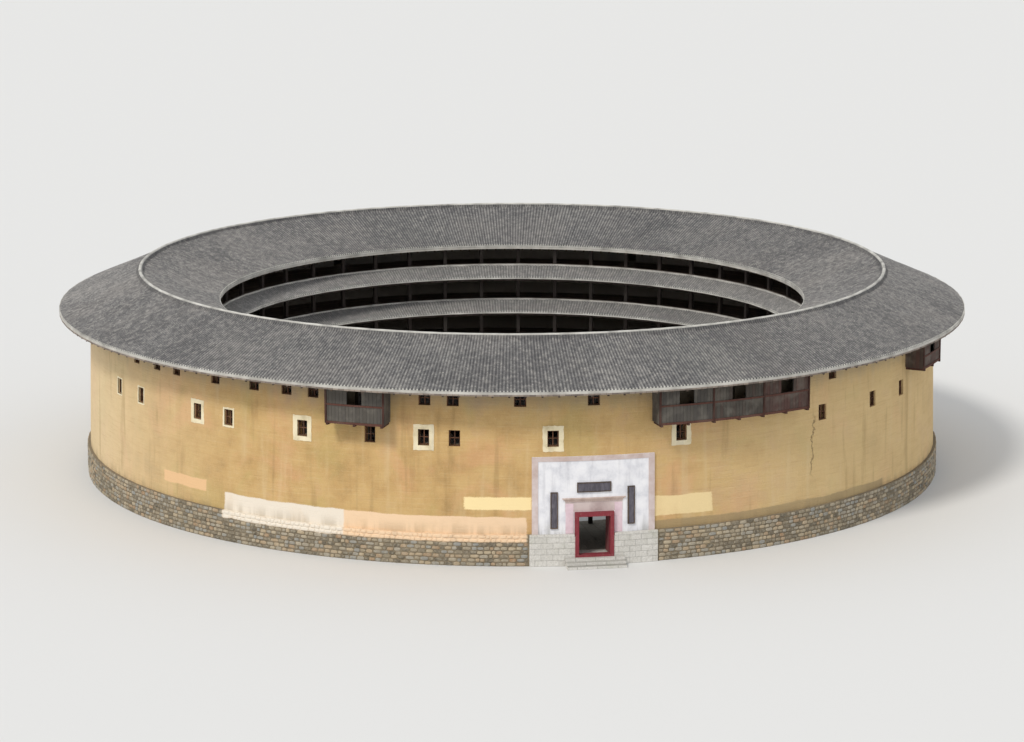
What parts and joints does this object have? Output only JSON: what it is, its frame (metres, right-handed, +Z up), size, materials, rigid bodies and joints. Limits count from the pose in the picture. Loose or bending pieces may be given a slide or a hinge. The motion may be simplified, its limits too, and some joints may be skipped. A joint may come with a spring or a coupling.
{
  "type": "round rammed-earth tulou roundhouse, 1:2 scale model",
  "caption": "Round rammed-earth house round an open courtyard: stone plinth, tiled ring roof, timber galleries, hanging lookouts and a plastered doorway with swinging leaves.",
  "frame": {"origin": "centre of the courtyard at ground level", "axes": "+Z up, -Y out through the doorway, +X to the right when the doorway is seen from outside"},
  "size_m": [35.12, 35.12, 7.87],
  "materials": {
    "rammed_earth": "matte",
    "rubble_stone": "matte",
    "ground_platform": "matte",
    "dressed_stone": "matte",
    "floor_boards": "matte",
    "gallery_timber": "matte",
    "roof_tiles": "matte",
    "lime_mortar": "matte",
    "lookout_boards": "matte",
    "white_plaster": "matte",
    "black_board": "satin",
    "red_paint": "satin",
    "door_boards": "matte"
  },
  "bodies": {
    "house": {"stone_plinth_front_right": "rubble_stone", "stone_plinth_back_right": "rubble_stone", "stone_plinth_back_left": "rubble_stone", "stone_plinth_front_left": "rubble_stone", "earth_wall_right_front": "rammed_earth", "earth_wall_right": "rammed_earth", "earth_wall_right_back": "rammed_earth", "earth_wall_back": "rammed_earth", "earth_wall_left_back": "rammed_earth", "earth_wall_left": "rammed_earth", "earth_wall_left_front": "rammed_earth", "earth_wall_over_door": "rammed_earth", "earth_wall_left_of_door": "rammed_earth", "earth_wall_right_of_door": "rammed_earth", "ground_floor": "ground_platform", "second_floor": "floor_boards", "ring_beam_second_floor": "gallery_timber", "third_floor": "floor_boards", "ring_beam_third_floor": "gallery_timber", "fourth_floor": "floor_boards", "ring_beam_fourth_floor": "gallery_timber", "gallery_posts_front": "gallery_timber", "gallery_posts_right": "gallery_timber", "gallery_posts_back": "gallery_timber", "gallery_posts_left": "gallery_timber", "gallery_parapet_second_floor": "gallery_timber", "gallery_parapet_third_floor": "gallery_timber", "gallery_parapet_fourth_floor": "gallery_timber", "roof_outer_slope_front": "roof_tiles", "roof_outer_slope_back": "roof_tiles", "roof_inner_slope_front": "roof_tiles", "roof_inner_slope_back": "roof_tiles", "roof_ridge": "lime_mortar", "waist_eave_third_floor_front": "roof_tiles", "waist_eave_third_floor_back": "roof_tiles", "waist_eave_fourth_floor_front": "roof_tiles", "waist_eave_fourth_floor_back": "roof_tiles", "lookout_left_of_door": "lookout_boards", "back_lookout_left_of_door": "lookout_boards", "lookout_right_of_door": "lookout_boards", "back_lookout_right_of_door": "lookout_boards", "lookout_right_side": "lookout_boards", "back_lookout_right_side": "lookout_boards", "portal_plaster": "white_plaster", "portal_stone_left": "dressed_stone", "portal_stone_right": "dressed_stone", "name_board": "black_board", "couplet_board_left": "black_board", "couplet_board_right": "black_board", "threshold_stone": "dressed_stone", "door_steps": "dressed_stone", "door_frame": "red_paint"},
    "left_leaf": {"door_leaf_left": "door_boards"},
    "right_leaf": {"door_leaf_right": "door_boards"}
  },
  "joints": [
    {"name": "left_leaf_hinge", "type": "hinge", "parent": "house", "child": "left_leaf", "pos_m": [-0.6, -16.3, 0.3], "axis": [0, 0, 1], "range_deg": [-90, 0]},
    {"name": "right_leaf_hinge", "type": "hinge", "parent": "house", "child": "right_leaf", "pos_m": [0.6, -16.3, 0.3], "axis": [0, 0, -1], "range_deg": [-90, 0]}
  ]
}
